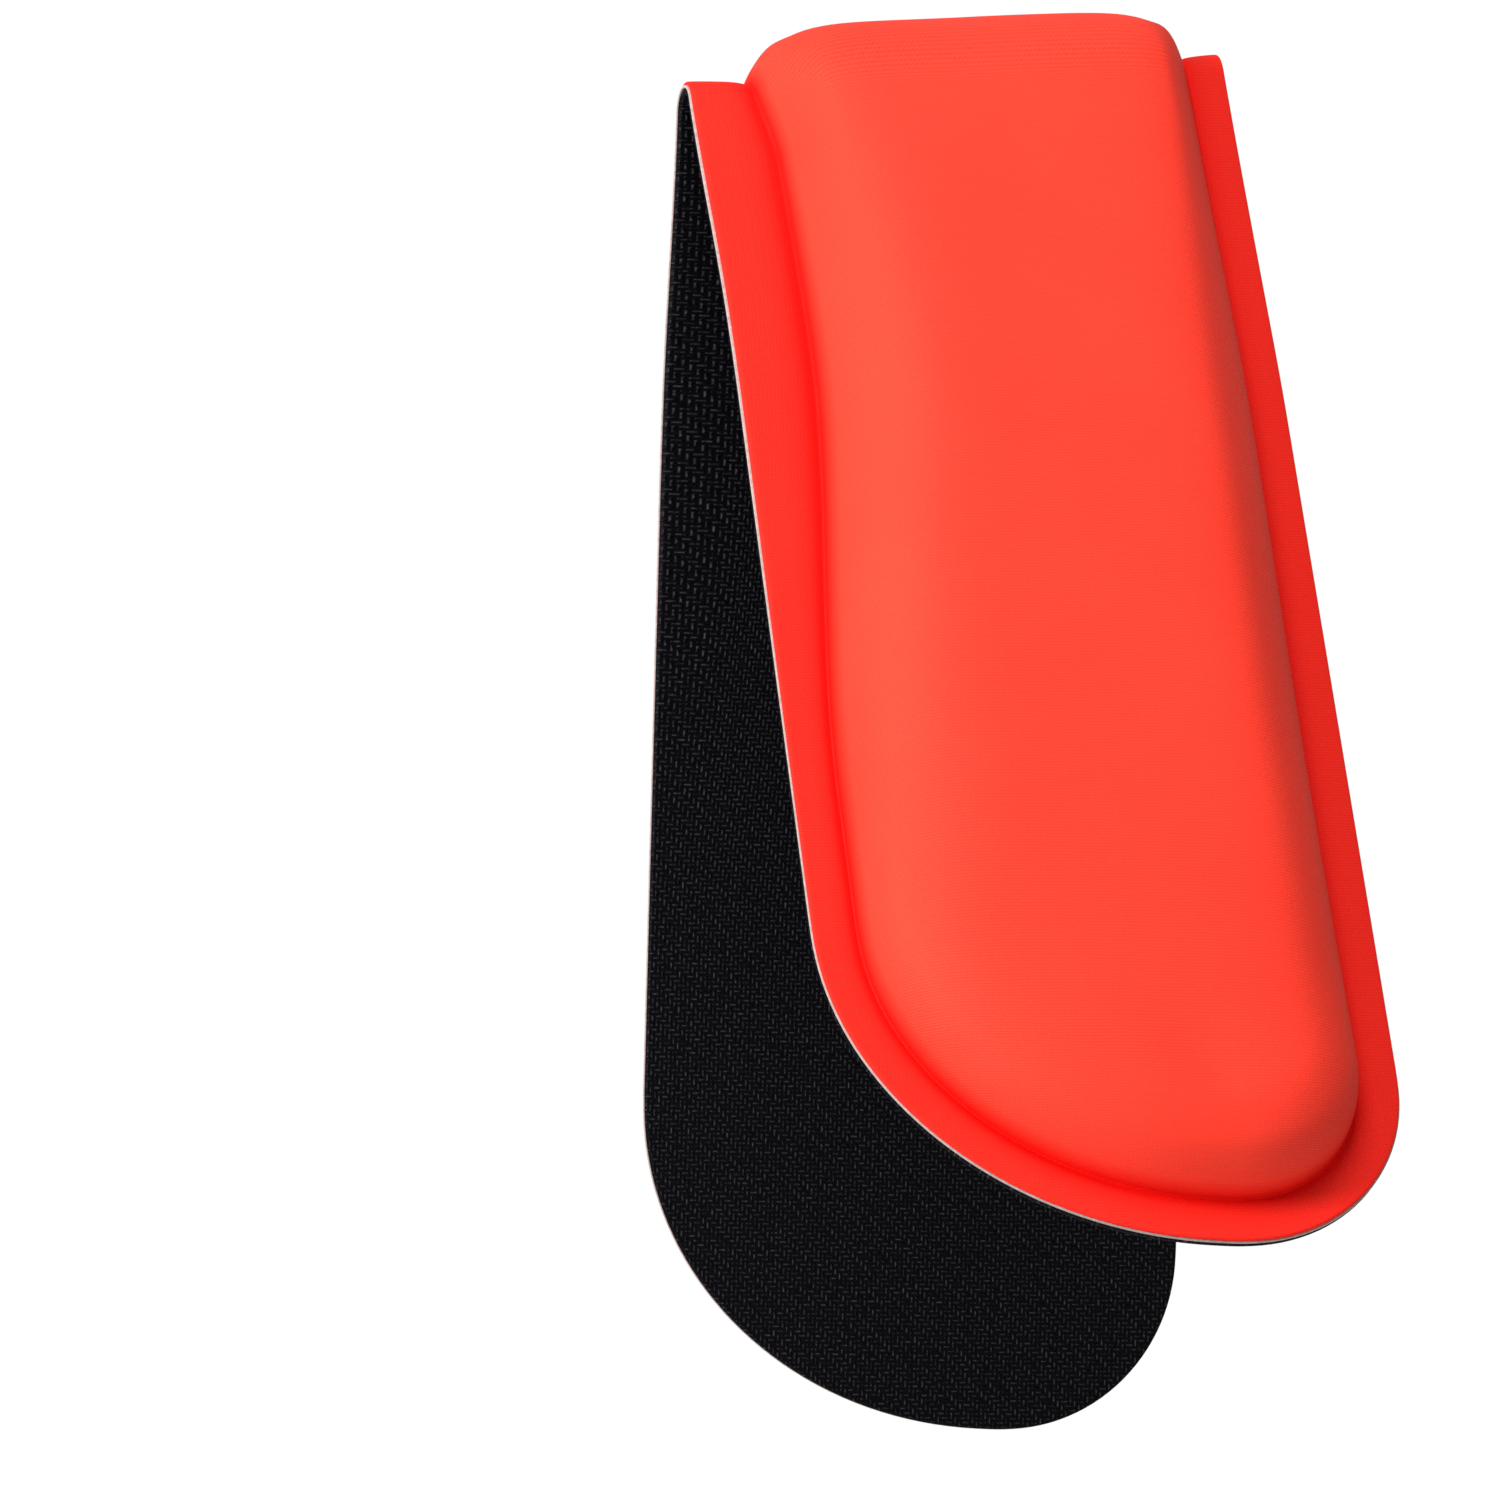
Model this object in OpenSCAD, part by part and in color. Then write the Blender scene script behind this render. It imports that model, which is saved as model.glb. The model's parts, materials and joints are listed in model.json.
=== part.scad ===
// Soft keyboard wrist rest, folded in half over its middle with the black face inside.
// It is a laminate of four layers: black rubber base, pale backing, foam core and red knit cover.
// Each layer is cut at the fold into three stretches: a front half, a bent crest and a back half.
// X runs across the pad (+X is the straight keyboard side), +Z is up, and -Y is the front half's side.
// The origin is on the crest of the black face, in the middle of the pad's width.

/* [Pad] */
// Width from the user's edge to the keyboard edge
pad_width = 88; // [86:1:96]
// Length of the pad laid flat, end to end
pad_length = 430; // [380:1:460]
// Height of the pad laid flat, from the desk to the top of the cushion
pad_height = 20; // [17:0.5:24]
// How far the sweeping end curve reaches along the pad
end_reach = 51; // [40:1:60]
// How far the sweeping end curve reaches across the pad
end_sweep = 58; // [50:1:59]
// Radius of the tighter corner on the keyboard side
corner_radius = 28; // [26:1:28]

/* [Layers] */
// Thickness of the black rubber base
base_thick = 1.2; // [0.8:0.1:2.5]
// Thickness of the pale backing that shows as a line at the edge
backing_thick = 0.4; // [0.3:0.1:1]
// Thickness of the knit cover
cover_thick = 0.6; // [0.4:0.1:0.8]

/* [Cushion] */
// Flat rim outside the cushion on the user's side
rim_user = 9; // [7:0.5:11]
// Flat rim outside the cushion on the keyboard side
rim_keyboard = 7; // [5:0.5:8]
// Flat rim outside the cushion at the end
rim_end = 6.5; // [6:0.5:9]
// Width over which the cushion's side rounds up to its top
shoulder = 14; // [11:1:16]

/* [Fold] */
// Radius of the black face inside the fold
fold_radius = 8; // [7:0.5:18]
// Angle of each half away from hanging straight down
half_lean = 15.6; // [12:0.2:25]
// Height of the cushion above the rim where it is stretched over the crest
crest_height = 10.4; // [8:0.2:14]
// Extra rim on the user's side where the stretched cushion draws in
crest_draw_in = 5; // [0:0.5:6]
// Length of each half over which the stretched cushion fills out again
fill_out = 70; // [30:1:90]

/* [Hidden] */
// Bend of the pad between the crest and each half
crest_bend = 90 - half_lean;
// The rim's middle keeps its length when the pad opens and closes
rim_thick = base_thick + backing_thick + cover_thick;
neutral_radius = fold_radius + rim_thick / 2;
// Straight stretch of each half, beyond the bent crest
half_length = pad_length / 2 - neutral_radius * crest_bend * PI / 180;
// Foam under the cover, laid flat
core_height = pad_height - rim_thick;
// Slit between the crest's layers and a half's, so that they part cleanly when the fold moves
slit = 0.15;
// Roundness of the shoulder: 1 is an ellipse, less is squarer
shoulder_power = 0.87;
shoulder_steps = 8;
side_steps = 12;
sweep_steps = 16;
corner_steps = 10;
ring_size = 2 * side_steps + sweep_steps + corner_steps;

base_colour = "#15131a";
backing_colour = "#d9cfcc";
core_colour = "#e8e0c8";
cover_colour = "#f2493a";

// Share of the way, from 0 at the crest to 1 where the cushion is full again
function filled(u) =
    let (t = min(1, max(0, u / fill_out)))
    t * t * (3 - 2 * t);

// Foam height at a distance from the crest's end
function height_at(u) = crest_height + (core_height - crest_height) * filled(u);

// How far the user's side of the cushion draws in at a distance from the crest's end
function draw_in_at(u) = crest_draw_in * (1 - filled(u));

// Open ring round one half: up the user's side, round the end, back along the keyboard side.
// The ring is moved in from the pad's outline by a distance on each of its three sides.
function ring(user, end, keyboard) =
    let (
        straight_user = half_length - end_reach,
        straight_keyboard = half_length - corner_radius,
        low = -pad_width / 2,
        high = pad_width / 2
    )
    concat(
        [for (i = [0 : side_steps - 1]) [low + user, straight_user * pow(i / side_steps, 1.3)]],
        [
            for (i = [0 : sweep_steps - 1])
            let (angle = 90 * i / (sweep_steps - 1))
            [
                low + end_sweep - (end_sweep - user) * cos(angle),
                straight_user + (end_reach - end) * sin(angle)
            ]
        ],
        [
            for (i = [0 : corner_steps - 1])
            let (angle = 90 * i / (corner_steps - 1))
            [
                high - corner_radius + (corner_radius - keyboard) * sin(angle),
                straight_keyboard + (corner_radius - end) * cos(angle)
            ]
        ],
        [
            for (i = [side_steps - 1 : -1 : 0])
            [high - keyboard, straight_keyboard * pow(i / side_steps, 1.3)]
        ]
    );

// Ring of the cushion at one step up its shoulder; skin is 0 on the foam and the cover's thickness outside it
function cushion_ring(step, skin) =
    let (
        angle = 90 * step / shoulder_steps,
        inward = shoulder * (1 - pow(cos(angle), shoulder_power)) - skin * cos(angle),
        rise = pow(sin(angle), shoulder_power),
        flat_ring = ring(rim_user + inward, rim_end + inward, rim_keyboard + inward)
    )
    [
        for (p = flat_ring)
        let (user_share = (pad_width / 2 - p[0]) / pad_width)
        [p[0] + draw_in_at(p[1]) * user_share, p[1], skin + rise * height_at(p[1])]
    ];

// Ring along the pad's outline at one height
function outline_ring(height) = [for (p = ring(0, 0, 0)) [p[0], p[1], height]];

// Two triangles for each side of a strip between two rings, given each ring's first point
function strip(a, b) = [
    for (i = [0 : ring_size - 2])
    each [[a + i, a + i + 1, b + i + 1], [a + i, b + i + 1, b + i]]
];

// Triangles that close a ring across, from one side to the other
function lid(a) = [
    for (i = [0 : ring_size / 2 - 2])
    let (j = ring_size - 1 - i)
    each [[a + i, a + i + 1, a + j - 1], [a + i, a + j - 1, a + j]]
];

// The same triangles, facing the other way
function turned(triangles) = [for (t = triangles) [t[0], t[2], t[1]]];

// Two triangles for a four-sided face
function quad(a, b, c, d) = [[a, b, c], [a, c, d]];

// Section across the cushion where it meets the crest: across and up, from the user's foot to the other
function crest_section(skin) = concat(
    [for (i = [0 : shoulder_steps]) let (p = cushion_ring(i, skin)[0]) [p[0], p[2]]],
    [
        for (i = [shoulder_steps : -1 : 0])
        let (p = cushion_ring(i, skin)[ring_size - 1])
        [p[0], p[2]]
    ]
);

// Puts a half, drawn flat with its crest's end along X and its black face down, in its folded place
module front_place() {
    translate([0, 0, -fold_radius])
        rotate([crest_bend, 0, 0])
            translate([0, -slit, fold_radius])
                mirror([0, 1, 0])
                    children();
}

module back_place() {
    mirror([0, 1, 0])
        front_place()
            children();
}

// Sweeps a section, drawn as height above the black face by place across, round the bent crest
module crest_sweep() {
    translate([0, 0, -fold_radius])
        rotate([0, 90, 0])
            rotate_extrude(start = 180 - crest_bend, angle = 2 * crest_bend, $fn = 180)
                children();
}

module half_sheet(bottom, thick) {
    translate([0, 0, bottom])
        linear_extrude(thick)
            polygon(ring(0, 0, 0));
}

module half_core() {
    rings = [for (i = [0 : shoulder_steps]) cushion_ring(i, 0)];
    last = shoulder_steps * ring_size;
    translate([0, 0, base_thick + backing_thick])
        polyhedron(
            [for (r = rings) each r],
            concat(
                [for (i = [0 : shoulder_steps - 1]) each strip(i * ring_size, (i + 1) * ring_size)],
                lid(last),
                turned(lid(0)),
                [
                    for (i = [0 : shoulder_steps - 1])
                    let (a = i * ring_size, b = a + ring_size)
                    each quad(a, b, b + ring_size - 1, a + ring_size - 1)
                ]
            )
        );
}

module half_cover() {
    outer = [for (i = [0 : shoulder_steps]) cushion_ring(i, cover_thick)];
    inner = [for (i = [0 : shoulder_steps]) cushion_ring(i, 0)];
    rim = [outline_ring(0), outline_ring(cover_thick)];
    far = ring_size - 1;
    first_outer = 2 * ring_size;
    first_inner = first_outer + (shoulder_steps + 1) * ring_size;
    last_outer = first_inner - ring_size;
    last_inner = first_inner + shoulder_steps * ring_size;
    translate([0, 0, base_thick + backing_thick])
        polyhedron(
            [for (r = concat(rim, outer, inner)) each r],
            concat(
                [for (i = [0 : shoulder_steps + 1]) each strip(i * ring_size, (i + 1) * ring_size)],
                lid(last_outer),
                [
                    for (i = [0 : shoulder_steps - 1])
                    let (a = first_inner + i * ring_size)
                    each turned(strip(a, a + ring_size))
                ],
                turned(lid(last_inner)),
                turned(strip(0, first_inner)),
                quad(0, ring_size, first_outer, first_inner),
                quad(far, first_inner + far, first_outer + far, ring_size + far),
                [
                    for (i = [0 : shoulder_steps - 1])
                    let (a = first_outer + i * ring_size, b = first_inner + i * ring_size)
                    each concat(
                        quad(a, a + ring_size, b + ring_size, b),
                        quad(a + far, b + far, b + ring_size + far, a + ring_size + far)
                    )
                ],
                quad(last_outer, last_outer + far, last_inner + far, last_inner)
            )
        );
}

module crest_sheet(bottom, thick) {
    crest_sweep()
        translate([fold_radius + bottom, -pad_width / 2])
            square([thick, pad_width]);
}

// A list of points across and up, as a shape for the crest's sweep
module crest_shape(points) {
    translate([fold_radius + base_thick + backing_thick, 0])
        polygon([for (p = points) [p[1], p[0]]]);
}

module front_base() {
    color(base_colour)
        front_place()
            half_sheet(0, base_thick);
}

module back_base() {
    color(base_colour)
        back_place()
            half_sheet(0, base_thick);
}

module crest_base() {
    color(base_colour)
        crest_sheet(0, base_thick);
}

module front_backing() {
    color(backing_colour)
        front_place()
            half_sheet(base_thick, backing_thick);
}

module back_backing() {
    color(backing_colour)
        back_place()
            half_sheet(base_thick, backing_thick);
}

module crest_backing() {
    color(backing_colour)
        crest_sheet(base_thick, backing_thick);
}

module front_core() {
    color(core_colour)
        front_place()
            half_core();
}

module back_core() {
    color(core_colour)
        back_place()
            half_core();
}

module crest_core() {
    color(core_colour)
        crest_sweep()
            crest_shape(crest_section(0));
}

module front_cover() {
    color(cover_colour)
        front_place()
            half_cover();
}

module back_cover() {
    color(cover_colour)
        back_place()
            half_cover();
}

module crest_cover() {
    edge = pad_width / 2;
    color(cover_colour)
        crest_sweep()
            crest_shape(
                concat(
                    [[-edge, 0], [-edge, cover_thick]],
                    crest_section(cover_thick),
                    [[edge, cover_thick], [edge, 0]],
                    [for (i = [2 * shoulder_steps + 1 : -1 : 0]) crest_section(0)[i]]
                )
            );
}

front_base();
front_backing();
front_core();
front_cover();
crest_base();
crest_backing();
crest_core();
crest_cover();
back_base();
back_backing();
back_core();
back_cover();
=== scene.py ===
# %% [markdown]
# # A folded keyboard wrist rest
# The object is a slim laminate: a black rubber base, a pale backing, a foam core and a red knit
# cover. It is held folded in half, red side out. The easy way to model something folded is not to
# model it folded: the pad is built flat, where every piece is simple, and the finished meshes are
# wrapped over the fold at the end. The CAD frame says how wide, how long and how sharply bent it is.

# %% Load the frame
import bpy, bmesh, math, json
import numpy as np
from mathutils import Matrix, Vector


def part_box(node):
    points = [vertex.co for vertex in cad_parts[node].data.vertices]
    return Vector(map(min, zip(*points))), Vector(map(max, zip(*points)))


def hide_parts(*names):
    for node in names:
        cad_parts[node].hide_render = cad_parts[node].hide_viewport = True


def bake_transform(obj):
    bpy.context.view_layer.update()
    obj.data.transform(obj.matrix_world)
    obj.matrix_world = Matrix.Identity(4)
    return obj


for name in ("Cube", "Light", "Camera"):            # what a new Blender file holds
    if name in bpy.data.objects:
        bpy.data.objects.remove(bpy.data.objects[name])
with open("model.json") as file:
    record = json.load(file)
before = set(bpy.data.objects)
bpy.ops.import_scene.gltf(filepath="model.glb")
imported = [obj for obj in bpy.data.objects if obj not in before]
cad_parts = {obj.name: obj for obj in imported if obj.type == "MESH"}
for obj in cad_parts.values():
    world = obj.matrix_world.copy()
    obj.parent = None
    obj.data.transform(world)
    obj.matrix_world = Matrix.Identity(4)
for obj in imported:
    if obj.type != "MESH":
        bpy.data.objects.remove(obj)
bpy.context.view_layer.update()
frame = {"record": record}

# %% [markdown]
# ## Measures
# The frame gives the width, the thickness of each layer and the hinges. From a hinge's place and
# its range come the bend's radius and its angle, because the hinge sits where the pad keeps its
# length when it opens. Lengths are in metres, and MM turns a millimetre into metres.

# %% Measures of the pad
MM = 0.001
hinge = next(j for j in frame["record"]["behaviour"]["joints"] if j["name"] == "front_fold")
BEND = math.radians(hinge["range_deg"][1])          # each half's bend away from flat
NEUTRAL = -2 * hinge["pos_m"][1] / BEND             # radius at the middle of the rim
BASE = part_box("crest_base")[1][2]
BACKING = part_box("crest_backing")[1][2] - BASE
COVER = 0.6 * MM
RIM_TOP = BASE + BACKING + COVER
LOW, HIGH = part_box("front_base")[0][0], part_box("front_base")[1][0]
HALF = 215 * MM                                     # half the pad's length, laid flat
CORNER = 28 * MM                                    # keyboard-side corner
REACH, SWEEP = 51 * MM, 58 * MM                     # the user-side end curve, along and across
RIM, SHOULDER, RISE = 7.2 * MM, 12 * MM, 16.6 * MM  # flat rim, rounded side, side's height
print("bend", round(math.degrees(BEND), 1), "neutral radius mm", round(NEUTRAL / MM, 2),
      "rim thickness mm", round(RIM_TOP / MM, 2), "width mm", round((HIGH - LOW) / MM, 1))

# %% [markdown]
# ## Choosing one object
# A Blender operator works on whatever is selected, and the frame's nodes are selected after it
# loads. So each step starts by making one object the only one selected, and modifiers are applied
# with that object active.

# %% Helpers for whole objects
def only(obj):
    """Makes obj the one selected and active object, in object mode."""
    if bpy.context.object and bpy.context.object.mode != "OBJECT":
        bpy.ops.object.mode_set(mode="OBJECT")
    bpy.ops.object.select_all(action="DESELECT")
    obj.select_set(True)
    bpy.context.view_layer.objects.active = obj
    return obj


def apply_all(obj):
    only(obj)
    for m in list(obj.modifiers):
        bpy.ops.object.modifier_apply(modifier=m.name)


def copy_of(obj, name):
    new = obj.copy()
    new.data = obj.data.copy()
    new.name = new.data.name = name
    bpy.context.scene.collection.objects.link(new)
    return new


# %% [markdown]
# Soft goods also need their points moved by a formula. Numpy reads all the places of a mesh at
# once, which is far quicker than a loop over its points.

# %% Helpers for a mesh's points
def places(mesh):
    co = np.empty(len(mesh.vertices) * 3)
    mesh.vertices.foreach_get("co", co)
    return co.reshape(-1, 3)


def put(mesh, co):
    mesh.vertices.foreach_set("co", co.astype(np.float32).ravel())
    mesh.update()


def ease_in(value):
    """From 0 to 1, with no sudden start or stop."""
    t = np.clip(value, 0, 1)
    return t * t * (3 - 2 * t)


print("halfway through its ease:", float(ease_in(0.5)))

# %% [markdown]
# ## Sweeping half a pad
# A half's rim and shoulder are one profile carried round its outline: straight along the user's
# side, round the sweeping curve, across the end, round the tight corner and back along the
# keyboard side. Extrude carries it along the straights and Spin round the curves. The steps are
# 1 mm where the pad will bend and 3.5 mm elsewhere, and both long sides get the same steps, so that
# a bridge can close the top with clean strips. A path and a bevelled curve could do the same, but
# they would twist the profile in the corners.

# %% The stations round half the outline
ALONG = list(np.arange(1, 25) * MM) + list(np.linspace(27.5, 164, 40) * MM)
ARC_STEPS, CORNER_STEPS, ACROSS_STEPS = 20, 14, 2
GAP_STEPS = ARC_STEPS - CORNER_STEPS - 1            # makes both long sides' counts the same
print("stations:", 2 * len(ALONG) + ARC_STEPS + CORNER_STEPS + ACROSS_STEPS + GAP_STEPS)


# %% Draw a profile and carry it round
def carry(offset):
    """Extrudes the selected chain by one step and leaves the new chain selected."""
    bpy.ops.mesh.extrude_region_move(TRANSFORM_OT_translate={"value": offset})


def chain(name, points, **weights):
    """A profile at the crest on the user's side, each point extruded from the last, rim first.
    Each weight list makes a vertex group, with one weight for each point."""
    bpy.ops.object.select_all(action="DESELECT")
    bpy.ops.mesh.primitive_plane_add(size=MM, location=(0, 0, 0))
    obj = bpy.context.object
    obj.name = obj.data.name = name
    bpy.ops.object.mode_set(mode="EDIT")
    bpy.ops.mesh.select_mode(type="VERT")
    bpy.ops.mesh.select_all(action="SELECT")
    bpy.ops.mesh.merge(type="CENTER")
    bpy.ops.transform.translate(value=(points[0][0], 0, points[0][1]))
    for (x0, z0), (x1, z1) in zip(points, points[1:]):
        carry((x1 - x0, 0, z1 - z0))
    bpy.ops.object.mode_set(mode="OBJECT")
    obj.vertex_groups.new(name="inner").add([len(points) - 1], 1.0, "REPLACE")
    for group, values in weights.items():
        made = obj.vertex_groups.new(name=group)
        for i, weight in enumerate(values):
            made.add([i], weight, "REPLACE")
    print(name, "profile of", len(points), "points")
    return obj


def sweep(obj):
    """Carries the profile round the half's outline."""
    only(obj)
    bpy.ops.object.mode_set(mode="EDIT")
    bpy.ops.mesh.select_all(action="SELECT")
    stops = [0.0] + ALONG
    for here, there in zip(stops, stops[1:]):
        carry((0, here - there, 0))
    bpy.ops.mesh.spin(steps=ARC_STEPS, angle=-math.pi / 2, axis=(0, 0, 1),
                      center=(LOW + REACH, REACH - HALF, 0))
    for i in range(ACROSS_STEPS):
        carry(((HIGH - CORNER - LOW - REACH) / ACROSS_STEPS, 0, 0))
    bpy.ops.mesh.spin(steps=CORNER_STEPS, angle=-math.pi / 2, axis=(0, 0, 1),
                      center=(HIGH - CORNER, CORNER - HALF, 0))
    for i in range(GAP_STEPS):
        carry((0, (HALF - CORNER - ALONG[-1]) / GAP_STEPS, 0))
    for here, there in zip(stops[::-1], stops[-2::-1]):
        carry((0, here - there, 0))
    bpy.ops.object.mode_set(mode="OBJECT")

# %% [markdown]
# The real end isn't a quarter circle: it reaches 51 mm along the pad but 58 mm across it. Sliding
# each station of the swept curve sideways by an amount that grows round the curve turns every ring
# into the matching ellipse, and the rings stay parallel.

# %% Stretch the sweeping curve
def stretch_end(obj):
    co = places(obj.data)
    past = -co[:, 1] - (HALF - REACH)
    left = LOW + REACH - co[:, 0]
    extra = SWEEP - REACH
    arc = (past > 1e-6) & (left > -1e-6)
    angle = np.arctan2(past, np.maximum(left, 1e-9))
    across = (past > 1e-6) & (left <= -1e-6) & (co[:, 0] < HIGH - CORNER)
    run = HIGH - CORNER - LOW - REACH
    co[arc, 0] += extra * (1 - np.cos(angle[arc]))
    co[across, 0] += extra * (1 + left[across] / run)
    put(obj.data, co)
    print(obj.name, "stations moved:", int(arc.sum() + across.sum()))

# %% [markdown]
# The innermost ring is still open. Bridge Edge Loops joins its two long sides with strips, and a
# Mirror makes the other half. Mirror can leave the faces inside out, so the normals are made
# consistent once the middle's doubles are merged.

# %% Close the top and mirror the half
def close_top(obj, cuts):
    only(obj)
    bpy.ops.object.mode_set(mode="EDIT")
    bpy.ops.mesh.select_mode(type="EDGE")
    bpy.ops.mesh.select_all(action="DESELECT")
    mesh = bmesh.from_edit_mesh(obj.data)
    group = obj.vertex_groups["inner"].index
    layer = mesh.verts.layers.deform.active
    end = max(-v.co.y for v in mesh.verts if group in v[layer])
    for e in mesh.edges:
        a, b = e.verts
        on_ring = all(group in v[layer] for v in e.verts)
        crosses = min(-a.co.y, -b.co.y) > end - 1e-6 and min(a.co.x, b.co.x) < LOW + SWEEP + 1e-5
        e.select = on_ring and not crosses
    bmesh.update_edit_mesh(obj.data)
    bpy.ops.mesh.bridge_edge_loops(type="SINGLE", number_cuts=cuts, interpolation="LINEAR")
    bpy.ops.object.mode_set(mode="OBJECT")
    flip = obj.modifiers.new("other_half", "MIRROR")
    flip.use_axis = (False, True, False)
    flip.merge_threshold = 0.02 * MM
    apply_all(obj)
    bpy.ops.object.mode_set(mode="EDIT")
    bpy.ops.mesh.select_all(action="SELECT")
    bpy.ops.mesh.normals_make_consistent(inside=False)
    bpy.ops.object.mode_set(mode="OBJECT")
    print(obj.name, "laid flat:", len(obj.data.polygons), "faces")

# %% [markdown]
# ## The cushion's cover, laid flat
# The knit goes over the whole pad: a flat rim, a groove at the cushion's foot, a steep rounded side
# and a nearly flat top. Its profile starts at the cut edge. The first points lie close together, so
# that subdivision keeps the edge crisp, and so do those beside the groove, where the real cloth is
# pressed down hard against the backing. Extrude carries vertex groups along, so a weight given to a
# point of the profile reaches the whole line that it draws: which lines the cloth simulation holds,
# which lie flat, and where the groove's red is darkened as painted shade.

# %% The cover's profile, swept and closed
TRIM = 0.25 * MM                                    # the cover is cut back this far from the edge
GROOVE = 0.35 * MM                                  # the pressed line sinks this far
edge = [(LOW + TRIM, BASE + BACKING), (LOW + TRIM, RIM_TOP - 0.12 * MM)]
rim = [(LOW + x * MM, RIM_TOP) for x in (0.45, 1.2, 3.2, 5.2)]
groove = [(LOW + RIM - 0.9 * MM, RIM_TOP - 0.1 * MM), (LOW + RIM - 0.3 * MM, RIM_TOP - GROOVE)]
side = [(LOW + RIM + SHOULDER * (1 - math.cos(a) ** 0.9),
         RIM_TOP - GROOVE + (RISE + GROOVE) * math.sin(a) ** 0.9)
        for a in np.radians([0, 6, 16, 27, 38, 49, 60, 71, 81, 90])]
outside = len(edge + rim + groove)
# The flat weights part the cushion's paler red, which is partly a painted highlight, from the rim's full red.
# The last weights mark the groove, where a deeper red is painted as shade.
cover = chain("cover", edge + rim + groove + side, held=[1.0] * (outside + 1),
              flat=[1.0] * outside + [0.7, 0.15],
              pressed=[0.0] * (outside - 3) + [0.25, 0.8, 1.0, 1.0, 0.5])
sweep(cover)
stretch_end(cover)
close_top(cover, 14)

# %% [markdown]
# ## Crowning the cushion with cloth
# Foam pushed up under a stretched knit gives a soft crown that is hard to draw by hand. The rim and
# the groove are pinned, air pressure fills the rest, and gravity is off. A cap on how far a point
# may move keeps the crown as low as the real one. Sculpting it would work too, but cloth gives the
# corners their softness for free.

# %% Inflate the cover
CROWN = 2.0 * MM


def crown(obj):
    flat = places(obj.data)
    only(obj)
    cloth = obj.modifiers.new("knit", "CLOTH")
    cloth.settings.vertex_group_mass = "held"
    cloth.settings.use_pressure = True
    cloth.settings.uniform_pressure_force = 4
    cloth.settings.effector_weights.gravity = 0
    cloth.settings.tension_stiffness = cloth.settings.compression_stiffness = 12
    cloth.settings.bending_stiffness = 2
    cloth.settings.quality = 5
    cloth.point_cache.frame_start, cloth.point_cache.frame_end = 1, 20
    for f in range(1, 21):
        bpy.context.scene.frame_set(f)
    blown = obj.evaluated_get(bpy.context.evaluated_depsgraph_get())
    move = places(blown.data) - flat
    bpy.context.scene.frame_set(1)
    obj.modifiers.remove(cloth)
    far = np.linalg.norm(move, axis=1)
    cap = CROWN * np.tanh(far / CROWN) / np.maximum(far, 1e-9)
    put(obj.data, flat + move * cap[:, None])
    print(obj.name, "crowned: points moved up to", round(float(far.max()) / MM, 2), "mm, capped at",
          CROWN / MM)


crown(cover)

# %% [markdown]
# ## Thread directions
# The knit's rows and columns follow the cloth, so they can't be read from a place in space once the
# pad is folded. Each point keeps its place in the flat pad as a UV pair in millimetres. On the
# cushion's side, where the cloth climbs, the pair is pushed outwards by most of the height that is
# left to climb, so that the stitches aren't drawn out into lines.

# %% Plan coordinates as a UV map
def outward(x, s):
    """The outline's outward direction, in plan, for points at x across and s from the crest."""
    n = np.zeros((len(x), 2))
    n[:, 0] = np.where(x < 0, -1.0, 1.0)
    cx, cs = LOW + SWEEP, HALF - REACH
    curve = (x < cx) & (s > cs)
    n[curve] = np.stack([(x - cx) / SWEEP ** 2, (s - cs) / REACH ** 2], 1)[curve]
    kx, ks = HIGH - CORNER, HALF - CORNER
    corner = (x > kx) & (s > ks)
    n[corner] = np.stack([x - kx, s - ks], 1)[corner]
    n[(x >= cx) & (x <= kx) & (s > ks)] = (0, 1)
    return n / np.maximum(np.linalg.norm(n, axis=1), 1e-9)[:, None]


def lay_plan(obj, climbs=False):
    mesh, co = obj.data, places(obj.data)
    plan = co[:, :2].copy()
    if climbs:
        left_to_climb = np.clip(RISE - (co[:, 2] - RIM_TOP), 0, RISE)
        n = outward(co[:, 0], np.abs(co[:, 1]))
        n[:, 1] *= np.sign(co[:, 1])
        plan += n * (0.7 * left_to_climb)[:, None]
    corners = np.empty(len(mesh.loops), int)
    mesh.loops.foreach_get("vertex_index", corners)
    layer = mesh.uv_layers.get("plan") or mesh.uv_layers.new(name="plan")
    layer.data.foreach_set("uv", (plan[corners] / MM).astype(np.float32).ravel())
    print(obj.name, "plan from", (plan.min(0) / MM).round(1), "to", (plan.max(0) / MM).round(1), "mm")


def smoother(obj):
    """One round of subdivision, with smooth shading."""
    fine = obj.modifiers.new("fine", "SUBSURF")
    fine.levels = fine.render_levels = 1
    apply_all(obj)
    bpy.ops.object.shade_smooth()


# %% [markdown]
# The shader can't read vertex groups, so their weights are copied to attributes of the same name.
# Before that, a few rounds of smoothing even out the top, where the strips of the bridge meet the
# rings in a corner.

# %% Smooth the top and keep the weights
def keep_weights(obj, *names):
    for name in names:
        group = obj.vertex_groups[name]
        weights = [sum(g.weight for g in v.groups if g.group == group.index) for v in obj.data.vertices]
        obj.vertex_groups.remove(group)             # a name belongs to a group or to an attribute
        obj.data.attributes.new(name, "FLOAT", "POINT").data.foreach_set("value", weights)
        print(name, "reaches", sum(w > 0 for w in weights), "points")


high = [v.index for v in cover.data.vertices if v.co.z > RIM_TOP + 0.8 * RISE]
cover.vertex_groups.new(name="top").add(high, 1.0, "REPLACE")
even = cover.modifiers.new("even", "SMOOTH")
even.vertex_group, even.factor, even.iterations = "top", 0.5, 12
apply_all(cover)
foam = copy_of(cover, "foam")                       # the foam starts from the same crowned shape
smoother(cover)
# These attributes carry the cushion's partly painted highlight and the groove's painted shade to the shader.
keep_weights(cover, "flat", "pressed")
lay_plan(cover, climbs=True)

# %% [markdown]
# ## Foam core
# The foam fills the cover and is never seen, but it is a piece of the pad, so it is made too. It is
# the cushion part of the cover's surface, moved in by a little more than the cover's thickness, and
# closed underneath by a flattened copy of itself.

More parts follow.
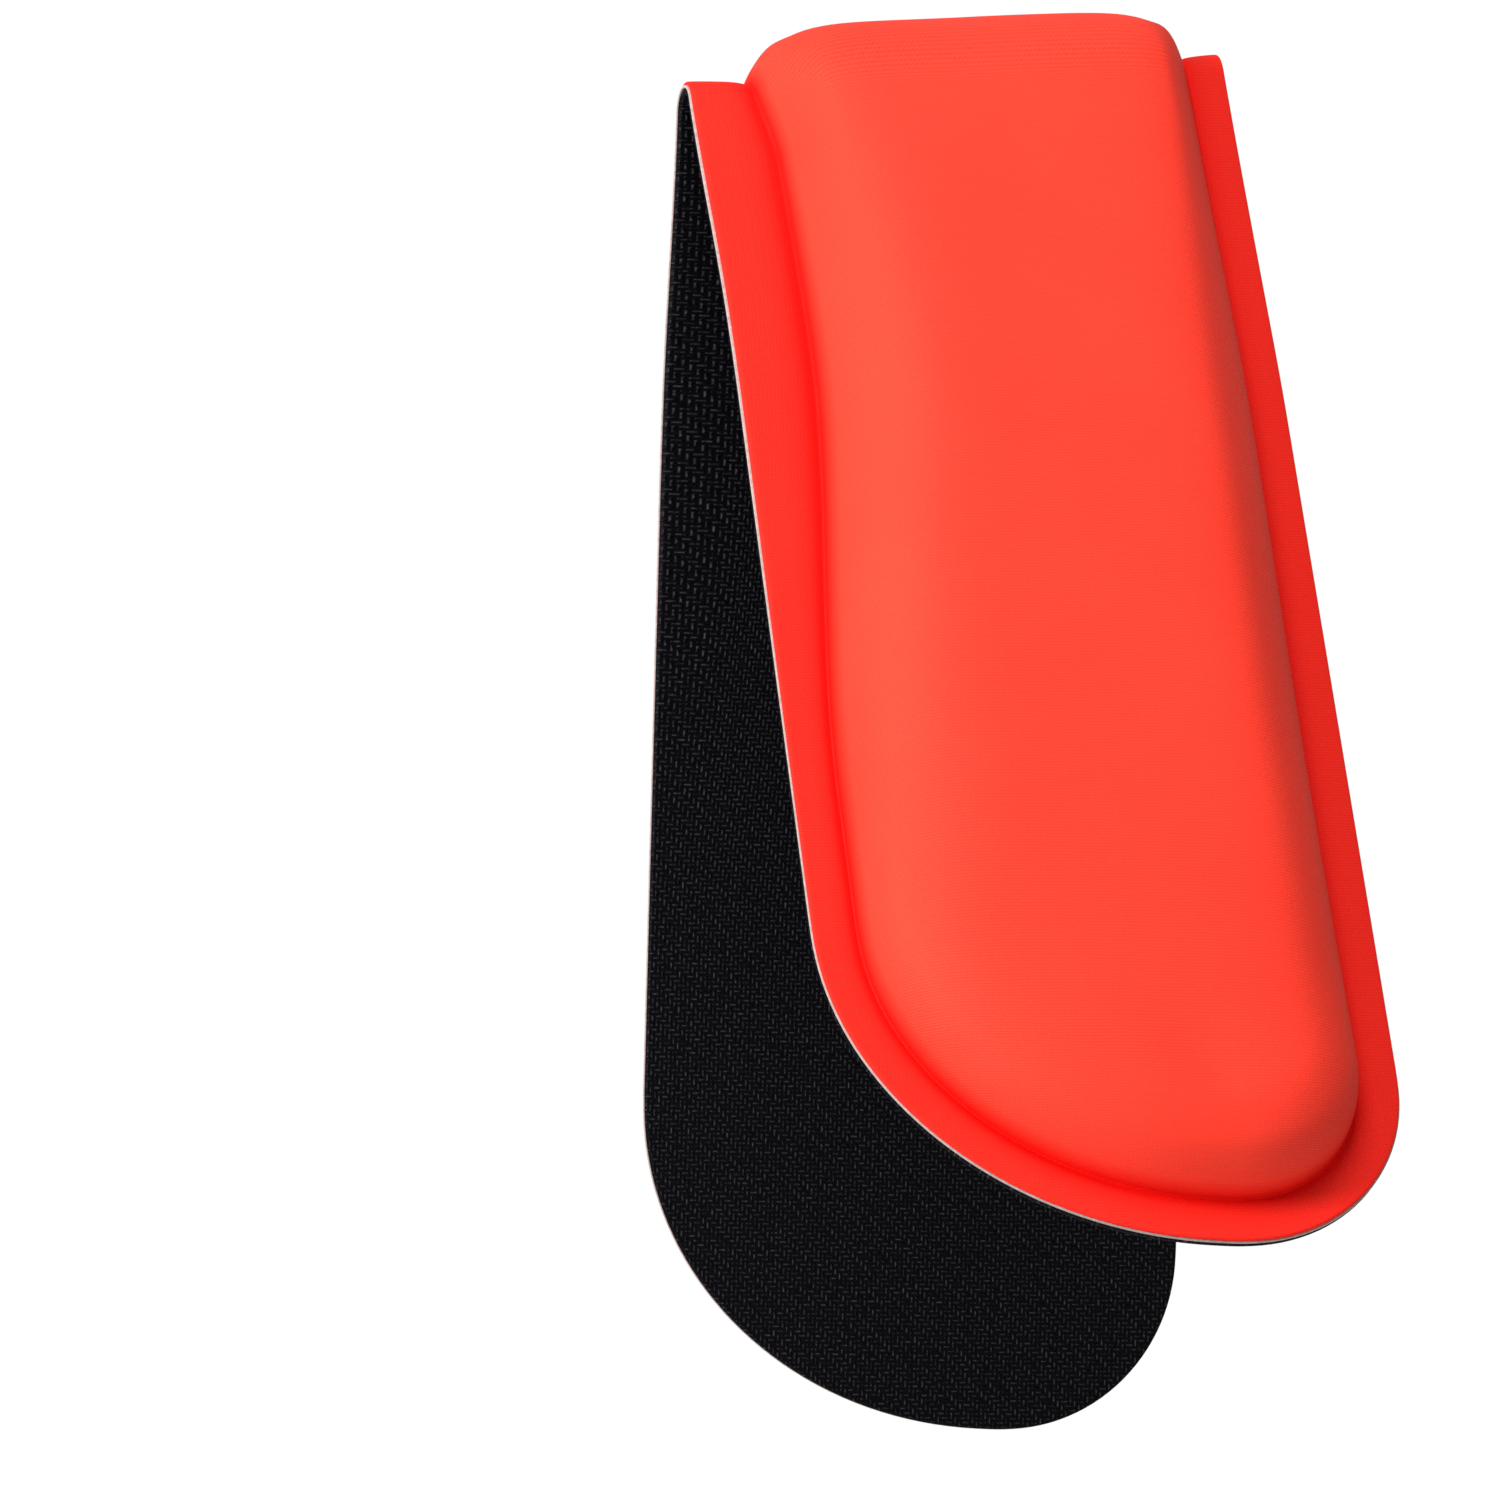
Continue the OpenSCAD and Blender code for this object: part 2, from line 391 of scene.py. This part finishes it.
# %% The foam's top
only(foam)
co = places(foam.data)
normals = np.empty(len(foam.data.vertices) * 3)
foam.data.vertices.foreach_get("normal", normals)
put(foam.data, co - normals.reshape(-1, 3) * COVER * 1.15)
bpy.ops.object.mode_set(mode="EDIT")
bpy.ops.mesh.select_mode(type="VERT")
bpy.ops.mesh.select_all(action="DESELECT")
mesh = bmesh.from_edit_mesh(foam.data)
for v in mesh.verts:
    v.select = v.co.z < RIM_TOP - 0.45 * MM
bmesh.update_edit_mesh(foam.data)
bpy.ops.mesh.delete(type="VERT")
bpy.ops.object.mode_set(mode="OBJECT")
print("foam top", len(foam.data.polygons), "faces")

# %% The foam's underside
under = copy_of(foam, "under")
co = places(under.data)
co[:, 2] = BASE + BACKING + 0.05 * MM
put(under.data, co)
only(under)
bpy.ops.object.mode_set(mode="EDIT")
bpy.ops.mesh.select_all(action="SELECT")
bpy.ops.mesh.flip_normals()
bpy.ops.object.mode_set(mode="OBJECT")
only(foam)
under.select_set(True)
bpy.ops.object.join()
bpy.ops.object.mode_set(mode="EDIT")
bpy.ops.mesh.select_all(action="DESELECT")
bpy.ops.mesh.select_non_manifold()
bpy.ops.mesh.bridge_edge_loops()
bpy.ops.object.mode_set(mode="OBJECT")
print("foam", len(foam.data.polygons), "faces")

# %% [markdown]
# ## Cover thickness
# So far the cover is a surface with no thickness. Solidify turns it into a cloth 0.5 mm thick. It
# grows inwards, so that the outside keeps its shape. It comes after the pad is cut in two at the
# crest, because Solidify closes every open edge with a rim, and so the cut ends up closed as well.

# %% A helper that gives a cloth its thickness
WALL = 0.5 * MM


def thicken(obj):
    wall = obj.modifiers.new("wall", "SOLIDIFY")
    wall.thickness, wall.offset = WALL, -1

# %% [markdown]
# ## Backing and base
# Both are flat sheets with the pad's outline, made in the same way as the cover but with a flat
# profile. The die cut leans a little, so the backing stands out by a fraction of a millimetre under
# the cover, and it shows as a thin pale line round the red. The base's lower edge is rounded over.

# %% The two sheets
SHEET_STOPS = (0, 0.8, 3, 8, 14, 22)                # millimetres in from the edge


def sheet_layer(name, trim, low, high, bevel):
    obj = chain(name, [(LOW + trim + x * MM, low) for x in SHEET_STOPS])
    sweep(obj)
    stretch_end(obj)
    close_top(obj, 5)
    smoother(obj)
    lay_plan(obj)
    if obj.data.polygons[0].normal.z > 0:
        obj.data.flip_normals()
    wall = obj.modifiers.new("thickness", "SOLIDIFY")
    wall.thickness, wall.offset = high - low, -1
    round_edge = obj.modifiers.new("edge", "BEVEL")
    round_edge.width, round_edge.segments, round_edge.limit_method = bevel, 2, "ANGLE"
    apply_all(obj)
    bpy.ops.object.shade_smooth_by_angle(angle=math.radians(50))
    print(name, len(obj.data.polygons), "faces")
    return obj


backing = sheet_layer("backing", 0.05 * MM, BASE, BASE + BACKING, 0.08 * MM)
base = sheet_layer("base", 0.1 * MM, 0, BASE, 0.9 * MM)

# %% [markdown]
# ## The fold
# A bend keeps lengths along the middle of the rim. The tangent's angle grows from 0 at the crest to
# the angle of the hanging half. A little rounding where the bend ends looks like soft foam, and not
# like a bent plate.

# %% The line that the bend follows
walk = np.linspace(0, 0.6, 12001)                   # distance from the crest, along the pad
ease = 3 * MM
step = walk[1] - walk[0]
turn = BEND * np.clip(walk / (NEUTRAL * BEND), 0, 1)
kernel = np.hanning(int(2 * ease / step) | 1)
both_ways = np.concatenate([-turn[len(kernel):0:-1], turn, np.full(len(kernel), BEND)])
turn = np.convolve(both_ways, kernel / kernel.sum(), "same")[len(kernel):len(kernel) + len(walk)]
middle = (turn[1:] + turn[:-1]) / 2
out_at = np.concatenate([[0], np.cumsum(np.cos(middle)) * step])
down_at = np.concatenate([[0], np.cumsum(np.sin(middle)) * step])
OUT_BY = out_at[-1] - walk[-1] * math.cos(BEND)     # what the bend adds to a straight line
DOWN_BY = down_at[-1] - walk[-1] * math.sin(BEND)
TOP_Z = hinge["pos_m"][2] + NEUTRAL * (1 - BEND / (2 * math.tan(BEND / 2)))
print("the bend's middle layer tops out at", round(TOP_Z / MM, 2), "mm")

# %% [markdown]
# The thin rims crease more sharply than the thick cushion, and the fold lies a little askew, higher
# on the keyboard side. The cushion is stretched over the crest, so it gets lower there, its side
# gets steeper and it draws in from the user's side, which leaves a wider rim. All of this fades out
# down each half. Towards the far ends the cushion gets a little lower again.

# %% How the pad changes near the fold
CREASE = 1.5                                        # how much tighter the rims fold
CREASE_FROM, CREASE_OVER = 26 * MM, 18 * MM         # where that starts, off the middle line
CREASE_FADE = 70 * MM                               # where the rims are back at the cushion's spacing
SKEW, SINK, SKEW_FADE = 0.1, 1.5 * MM, 55 * MM      # the crease's slope, its drop and where it ends
CREST_KEEP, FILL_OUT = 0.56, 82 * MM                # share of the height kept at the crest
DRAW_IN, DRAW_FADE = 6.0 * MM, (60 * MM, 80 * MM)   # how far the user's side draws in, and its fade
CREST_DRAW, CREST_DRAW_FADE = 0.55, 20 * MM         # share of that at the crest itself
STEEPER = 3.0 * MM                                  # how much narrower the shoulder gets
STEEP_END, STEEP_OVER = 36 * MM, 24 * MM            # how far in that reaches, and its ease
LOW_END, LOW_FROM, LOW_OVER = 0.2, 95 * MM, 105 * MM    # share of height lost at the end, and where


def fold(obj):
    """Wraps a flat mesh over the fold."""
    co = places(obj.data)
    s, side = np.abs(co[:, 1]), np.sign(co[:, 1])
    near = 1 - ease_in(s / FILL_OUT)
    above = np.maximum(co[:, 2] - RIM_TOP, 0)
    near_end = LOW_END * ease_in((s - LOW_FROM) / LOW_OVER)
    z = np.minimum(co[:, 2], RIM_TOP) + above * (1 - (1 - CREST_KEEP) * near - near_end)

    x = co[:, 0].copy()
    from_user, from_keyboard = x - LOW, HIGH - x
    draw = DRAW_IN * (1 - ease_in((s - DRAW_FADE[0]) / DRAW_FADE[1]))
    draw *= CREST_DRAW + (1 - CREST_DRAW) * ease_in(s / CREST_DRAW_FADE)
    x += draw * np.clip(from_user / RIM, 0, 1) * from_keyboard / (HIGH - LOW)
    for inside, way in ((from_user - RIM, -1), (from_keyboard - RIM, 1)):
        share = ease_in(inside / SHOULDER) * ease_in((STEEP_END - inside) / STEEP_OVER)
        x += way * STEEPER * near * share

    tight = 1 + CREASE * ease_in((np.abs(co[:, 0]) - CREASE_FROM) / CREASE_OVER)
    a = np.interp(s * tight, walk, turn)
    out = np.interp(s * tight, walk, out_at) / tight
    out += OUT_BY * (1 - 1 / tight) * ease_in(s / CREASE_FADE)
    down = np.interp(s * tight, walk, down_at) / tight + DOWN_BY * (1 - 1 / tight)
    lift = (SKEW * co[:, 0] - SINK) * (1 - ease_in(s / SKEW_FADE))
    over = z - RIM_TOP / 2
    put(obj.data, np.stack([x, side * (out + over * np.sin(a)),
                            TOP_Z - down + over * np.cos(a) + lift], 1))


for whole in (cover, foam, backing, base):
    fold(whole)
    low, high = places(whole.data).min(0), places(whole.data).max(0)
    print(whole.name, "folded, from", (low / MM).round(1), "to", (high / MM).round(1), "mm")

# %% [markdown]
# ## Two halves that meet at the crest
# Every piece is cut at the crest, because each half swings with its own body. Bisect cuts it and
# caps the solid pieces, and Solidify closes the cover. A cut would show as a line in the shading, so
# Data Transfer gives both sides the normals of the uncut piece.

# %% Cut at the crest
def halves(obj, name, cloth=False):
    made = [copy_of(obj, f"{part}_{name}") for part in ("front", "back")]
    if cloth:
        thicken(obj)
    for new, keep_outer in zip(made, (True, False)):
        only(new)
        bpy.ops.object.mode_set(mode="EDIT")
        bpy.ops.mesh.select_all(action="SELECT")
        bpy.ops.mesh.bisect(plane_co=(0, 0, 0), plane_no=(0, 1, 0), use_fill=not cloth,
                            clear_outer=keep_outer, clear_inner=not keep_outer)
        bpy.ops.object.mode_set(mode="OBJECT")
        if cloth:
            thicken(new)
        shade = new.modifiers.new("shading", "DATA_TRANSFER")
        shade.object = obj
        shade.use_loop_data = True
        shade.data_types_loops = {"CUSTOM_NORMAL"}
        shade.loop_mapping = "NEAREST_POLYNOR"
        apply_all(new)
    bpy.data.objects.remove(obj)
    print([o.name for o in made], [len(o.data.polygons) for o in made], "faces")
    return made

# %% [markdown]
# Each piece takes the place of the frame's matching pieces: those pieces are hidden, and the
# piece's own transform is baked into its mesh.


def join_to_frame(pieces, nodes):
    for side, part, piece in zip((-1, 1), ("front", "back"), pieces):
        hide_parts(*[f"{part}_{n}" for n in nodes], *[f"crest_{n}" for n in nodes])
        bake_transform(piece)


parts = {}
for whole, name, nodes, slot in ((cover, "knit_cover", ["cover"], "knit_cover"),
                                 (foam, "foam_core", ["core"], "foam"),
                                 (backing, "pale_backing", ["backing"], "backing"),
                                 (base, "rubber_base", ["base"], "base_rubber")):
    made = halves(whole, name, cloth=whole is cover)
    join_to_frame(made, nodes)
    parts.update({piece.name: piece for piece in made})

# %% [markdown]

# %% [markdown]
# ## Materials
# Each finish is one Principled shader, with nodes for what varies over the surface: its colour, its
# roughness and its relief. What is the same all over is set on the shader itself. Colours are
# written as the hex values that a colour picker shows, and a shader wants them linear.

# %% Helpers for materials
def linear(hex_colour):
    """An sRGB hex colour as the linear values that a shader takes."""
    srgb = [int(hex_colour[i:i + 2], 16) / 255 for i in (1, 3, 5)]
    return [c / 12.92 if c <= 0.04045 else ((c + 0.055) / 1.055) ** 2.4 for c in srgb] + [1.0]


def add(tree, kind, inputs, **settings):
    """Adds a node with its settings; an input is a value, a socket, or a node for its first output."""
    node = tree.nodes.new("ShaderNode" + kind)
    for key, value in settings.items():
        setattr(node, key, value)
    for key, value in inputs.items():
        if isinstance(value, bpy.types.Node):
            value = value.outputs[0]
        if isinstance(value, bpy.types.NodeSocket):
            tree.links.new(value, node.inputs[key])
        else:
            node.inputs[key].default_value = value
    return node


def new_material(name, **constants):
    """A material with its Principled shader's constants set, such as Sheen_Weight=0.3."""
    material = bpy.data.materials.new(name)
    material.use_nodes = True
    shader = material.node_tree.nodes["Principled BSDF"]
    for key, value in constants.items():
        shader.inputs[key.replace("_", " ")].default_value = value
    return material, material.node_tree, shader


print("a picked mid grey is", round(linear("#808080")[0], 3), "linear")

# %% [markdown]
# ## Red stretch knit
# The cover is a brushed polyamide jersey with elastane. To the eye it is a warm red with a dusty
# coral bloom where light strikes it, and a fine ribbing of V-shaped stitches. Where the cushion
# stretches it, it is drawn paler and more coral: partly the knit's paler ground, partly a painted
# highlight. It is full red on the flat rim, and the deeper red drawn in the groove is painted shade.
# The attribute flat says where the cloth lies flat, and a second attribute says where the groove's
# painted shade goes. Real stitches are about half a millimetre wide, too fine to show from this far,
# so they are drawn 0.65 mm wide. The two legs of a stitch lean towards each other, which Ping-Pong
# nodes give: they fold a distance back and forth, like a zigzag. Fibre has an IOR of 1.53. It
# scatters light broadly, so its gloss is rough and weak, and sheen gives the bloom at the edges.

# %% The knit
STITCH_WIDE, STITCH_HIGH = 0.65, 0.5                # millimetres


def knit():
    material, tree, shader = new_material(
        "stretch_knit_red", IOR=1.53, Roughness=0.5, Specular_IOR_Level=0.14,
        Specular_Tint=linear("#ffa58c"), Sheen_Weight=0.06, Sheen_Roughness=0.35,
        Sheen_Tint=linear("#ff5a40"))
    plan = add(tree, "UVMap", {}, uv_map="plan")
    sway = add(tree, "TexNoise", {"Vector": plan, "Scale": 0.16, "Detail": 2.0})
    place = add(tree, "SeparateXYZ", {0: plan})
    column = add(tree, "Math", {0: place.outputs[0], 1: 1 / STITCH_WIDE}, operation="MULTIPLY")
    column = add(tree, "Math", {0: sway, 1: 1.6, 2: column}, operation="MULTIPLY_ADD")
    lean = add(tree, "Math", {0: column, 1: 0.5}, operation="PINGPONG")
    row = add(tree, "Math", {0: place.outputs[1], 1: 1 / STITCH_HIGH, 2: lean}, operation="MULTIPLY_ADD")
    row = add(tree, "Math", {0: row, 1: 0.5}, operation="PINGPONG")
    leg = add(tree, "Math", {0: column, 1: 0.25}, operation="PINGPONG")
    leg = add(tree, "Math", {0: leg, 1: 2.4, 2: 0.4}, operation="MULTIPLY_ADD")
    stitch = add(tree, "Math", {0: row, 1: leg}, operation="MULTIPLY")           # 0 to 0.5
    fuzz = add(tree, "TexNoise", {"Vector": plan, "Scale": 1.7, "Detail": 3.0, "Roughness": 0.7})
    height = add(tree, "Math", {0: fuzz, 1: 0.35, 2: stitch}, operation="MULTIPLY_ADD")
    cloud = add(tree, "TexNoise", {"Vector": plan, "Scale": 0.03, "Detail": 2.0})
    depth = add(tree, "Math", {0: cloud, 1: 0.18, 2: height}, operation="MULTIPLY_ADD")
    depth = add(tree, "MapRange", {0: depth, 1: 0.1, 2: 0.6})
    flat = add(tree, "Attribute", {}, attribute_name="flat")
    # This attribute marks the groove, where a deeper red is painted as shade.
    pressed = add(tree, "Attribute", {}, attribute_name="pressed")
    # Paler, more coral cushion red: partly the knit's paler ground where stretched, partly a painted
    # highlight.
    stretched_and_highlit = add(tree, "Mix", {0: depth, 6: linear("#d8281b"), 7: linear("#f14030")}, data_type="RGBA")
    lying = add(tree, "Mix", {0: depth, 6: linear("#da1c15"), 7: linear("#f22a20")}, data_type="RGBA")
    knit_tone_and_highlight = add(tree, "Mix", {0: flat.outputs["Fac"], 6: stretched_and_highlit.outputs[2], 7: lying.outputs[2]},
               data_type="RGBA")
    # The deeper red mixed in here is painted shade in the groove.
    colour = add(tree, "Mix", {0: pressed.outputs["Fac"], 6: knit_tone_and_highlight.outputs[2], 7: linear("#e00c08")},
                 data_type="RGBA")
    bump = add(tree, "Bump", {"Strength": 0.55, "Distance": 0.18 * MM, "Height": height})
    tree.links.new(colour.outputs[2], shader.inputs["Base Color"])
    tree.links.new(bump.outputs[0], shader.inputs["Normal"])
    print(material.name, "has", len(tree.nodes), "nodes")
    return material

# %% [markdown]
# ## Embossed black rubber
# The base is calendered rubber, pressed between rollers with a fine staircase of short bars, so
# that it grips a desk. To the eye it is nearly black with small grey glints on the bars; these glints
# are painted highlights, drawn as a lighter grey in the bars' colour. A bar is 0.7 by 1.4 mm. The
# bars are laid like parquet: in the cell in column i and row j, the remainder of i - j over 4 says
# whether the bar lies or stands, and which end of it this is. The steps are a list, which is easier
# to read than twenty lines of nodes. Rubber has an IOR of 1.52, but the emboss traps light, so its
# reflection is set lower.

# %% The rubber
BAR = 0.7                                           # millimetres wide, and twice as long
STAIRCASE = [
    ("column", "FLOOR", "x"), ("row", "FLOOR", "y"),
    ("in_x", "SUBTRACT", "x", "column"), ("in_y", "SUBTRACT", "y", "row"),
    ("diagonal", "SUBTRACT", "column", "row"), ("kind", "FLOORED_MODULO", "diagonal", 4.0),
    ("lying", "LESS_THAN", "kind", 1.5), ("standing", "SUBTRACT", 1.0, "lying"),
    ("far_half", "COMPARE", "kind", 1.0, 0.1), ("top_half", "COMPARE", "kind", 2.0, 0.1),
    ("along_x", "ADD", "in_x", "far_half"), ("along_y", "ADD", "in_y", "top_half"),
    ("long_x", "MULTIPLY", "lying", "along_x"), ("long_way", "MULTIPLY_ADD", "standing", "along_y", "long_x"),
    ("short_x", "MULTIPLY", "standing", "in_x"), ("short_way", "MULTIPLY_ADD", "lying", "in_y", "short_x"),
    ("from_side", "PINGPONG", "short_way", 0.5), ("from_end", "PINGPONG", "long_way", 1.0),
    ("inside", "MINIMUM", "from_side", "from_end"),
]


def rubber():
    material, tree, shader = new_material("embossed_black_rubber", IOR=1.52, Specular_IOR_Level=0.06)
    plan = add(tree, "UVMap", {}, uv_map="plan")
    cells = add(tree, "VectorMath", {0: plan, 3: 1 / BAR}, operation="SCALE")
    cells = add(tree, "SeparateXYZ", {0: cells})
    made = {"x": cells.outputs[0], "y": cells.outputs[1]}
    for name, operation, *values in STAIRCASE:
        inputs = {i: made.get(v, v) for i, v in enumerate(values)}
        made[name] = add(tree, "Math", inputs, operation=operation)
    bar = add(tree, "MapRange", {0: made["inside"], 1: 0.2, 2: 0.45}, interpolation_type="SMOOTHSTEP")
    grit = add(tree, "TexNoise", {"Vector": plan, "Scale": 1.3, "Detail": 3.0, "Roughness": 0.65})
    height = add(tree, "Math", {0: grit, 1: 0.4, 2: bar}, operation="MULTIPLY_ADD")
    # The lighter grey spots on the bars are painted highlights: painted glints.
    glint = add(tree, "MapRange", {0: grit, 1: 0.42, 2: 0.75})
    painted_glints = add(tree, "Math", {0: glint, 1: bar}, operation="MULTIPLY")
    colour = add(tree, "Mix", {0: painted_glints, 6: linear("#020103"), 7: linear("#48444e")}, data_type="RGBA")
    rough = add(tree, "Math", {0: grit, 1: 0.5, 2: 0.3}, operation="MULTIPLY_ADD")
    bump = add(tree, "Bump", {"Strength": 0.9, "Distance": 0.35 * MM, "Height": height})
    tree.links.new(colour.outputs[2], shader.inputs["Base Color"])
    tree.links.new(rough.outputs[0], shader.inputs["Roughness"])
    tree.links.new(bump.outputs[0], shader.inputs["Normal"])
    print(material.name, "has", len(tree.nodes), "nodes")
    return material

# %% [markdown]
# ## Backing and foam
# The backing is a thin brushed tricot, bonded between the foam and the rubber. Only its cut edge
# shows, as a matt, pinkish off-white line with a little fluff. The foam is open-cell polyurethane:
# cream and matt, with cells about half a millimetre across that a Voronoi texture draws. Fibre and
# foam both scatter light so widely that their roughness is near 1.

# %% The backing and the foam
def tricot():
    material, tree, shader = new_material("pale_brushed_tricot", IOR=1.53, Roughness=0.95,
                                          Sheen_Weight=0.2, Specular_IOR_Level=0.2)
    plan = add(tree, "UVMap", {}, uv_map="plan")
    fluff = add(tree, "TexNoise", {"Vector": plan, "Scale": 1.1, "Detail": 4.0})
    colour = add(tree, "Mix", {0: fluff, 6: linear("#7d6662"), 7: linear("#bfaca6")}, data_type="RGBA")
    bump = add(tree, "Bump", {"Strength": 0.6, "Distance": 0.1 * MM, "Height": fluff})
    tree.links.new(colour.outputs[2], shader.inputs["Base Color"])
    tree.links.new(bump.outputs[0], shader.inputs["Normal"])
    print(material.name, "has", len(tree.nodes), "nodes")
    return material


def open_foam():
    material, tree, shader = new_material("cream_polyurethane_foam", IOR=1.5, Roughness=0.95,
                                          Specular_IOR_Level=0.2)
    place = add(tree, "TexCoord", {})
    cells = add(tree, "TexVoronoi", {"Vector": place.outputs["Object"], "Scale": 2.0 / MM})
    colour = add(tree, "Mix", {0: cells, 6: linear("#cdbf96"), 7: linear("#efe6c9")}, data_type="RGBA")
    bump = add(tree, "Bump", {"Strength": 0.5, "Distance": 0.3 * MM, "Height": cells})
    tree.links.new(colour.outputs[2], shader.inputs["Base Color"])
    tree.links.new(bump.outputs[0], shader.inputs["Normal"])
    print(material.name, "has", len(tree.nodes), "nodes")
    return material


# %% Give every piece its material
finishes = {"knit_cover": knit(), "foam_core": open_foam(), "pale_backing": tricot(),
            "rubber_base": rubber()}
for name, obj in parts.items():
    obj.data.materials.clear()
    obj.data.materials.append(finishes[name.split("_", 1)[1]])
    print(name, "is", obj.data.materials[0].name)

# %% [markdown]
# ## Camera
# The pad hangs a little above the eye, so the camera looks up at it, from its user's side, with a
# long lens that keeps the two halves' outlines nearly parallel. The lens's tilt is a roll about its
# own axis. The place is worked out from angles and a distance, because they say what the view is.

# %% The camera
PAD_MIDDLE = Vector((0, 0, -0.1))


def look_from(azimuth, elevation, roll, distance, centre, right_by, up_by, lens):
    """Looks at centre from a direction, then slides the frame so that centre is off its middle."""
    a, e, r = (math.radians(v) for v in (azimuth, elevation, roll))
    back = Vector((math.sin(a) * math.cos(e), -math.cos(a) * math.cos(e), math.sin(e)))
    right = (-back).cross(Vector((0, 0, 1))).normalized()
    up = right.cross(-back)
    tilted_right = right * math.cos(r) + up * math.sin(r)
    tilted_up = up * math.cos(r) - right * math.sin(r)
    data = bpy.data.cameras.new("camera")
    data.lens, data.clip_end = lens, 20
    camera = bpy.data.objects.new("camera", data)
    bpy.context.scene.collection.objects.link(camera)
    place = centre + back * distance - tilted_right * right_by - tilted_up * up_by
    axes = Matrix((tilted_right, tilted_up, back)).transposed().to_4x4()
    camera.matrix_world = Matrix.Translation(place) @ axes
    bpy.context.scene.camera = camera
    print("camera at", [round(v, 3) for v in place], "lens", round(lens, 1), "mm")


look_from(azimuth=-15.67, elevation=-15.84, roll=-2.68, distance=1.6, centre=PAD_MIDDLE,
          right_by=0.03625, up_by=0.00758, lens=248.3)

# %% [markdown]
# ## Floor and light
# The studio is white. The floor lies far below the hanging pad. The room's fill is weaker than the
# white that the camera sees behind the pad: a Light Path node tells the two apart, as a studio does
# by lighting its backdrop on its own. One large softbox on the user's side models the shape. A second
# one, higher and nearer the middle, gives the broad bloom down the cushion.

# %% Floor and room
bpy.ops.object.select_all(action="DESELECT")
bpy.ops.mesh.primitive_plane_add(size=12, location=(0, 0, -0.75))
floor = bpy.context.object
floor.name = "floor"
paint, tree, shader = new_material("pale_floor_paint", Base_Color=linear("#f4f4f4"), Roughness=0.8)
floor.data.materials.append(paint)

FILL = 0.3                                          # the room's light, as a share of the white seen
world = bpy.data.worlds.new("pale_room")
bpy.context.scene.world = world
world.use_nodes = True
room = world.node_tree.nodes["Background"]
room.inputs["Color"].default_value = (1, 1, 1, 1)
seen = add(world.node_tree, "LightPath", {})
glow = add(world.node_tree, "Math", {0: seen, 1: 1 - FILL, 2: FILL}, operation="MULTIPLY_ADD")
world.node_tree.links.new(glow.outputs[0], room.inputs["Strength"])
bpy.context.scene.view_settings.view_transform = "Standard"
print("fill", FILL)


# %% Softboxes
def softbox(name, place, size, power):
    light = bpy.data.lights.new(name, "AREA")
    light.shape, light.size, light.energy = "SQUARE", size, power
    obj = bpy.data.objects.new(name, light)
    bpy.context.scene.collection.objects.link(obj)
    obj.location = place
    obj.rotation_euler = (PAD_MIDDLE - Vector(place)).to_track_quat("-Z", "Y").to_euler()
    print(name, power, "W")


softbox("key_light", (-1.5, -0.7, 0.3), 0.6, 42)
softbox("bloom_light", (-0.25, -0.75, 0.7), 0.5, 9)
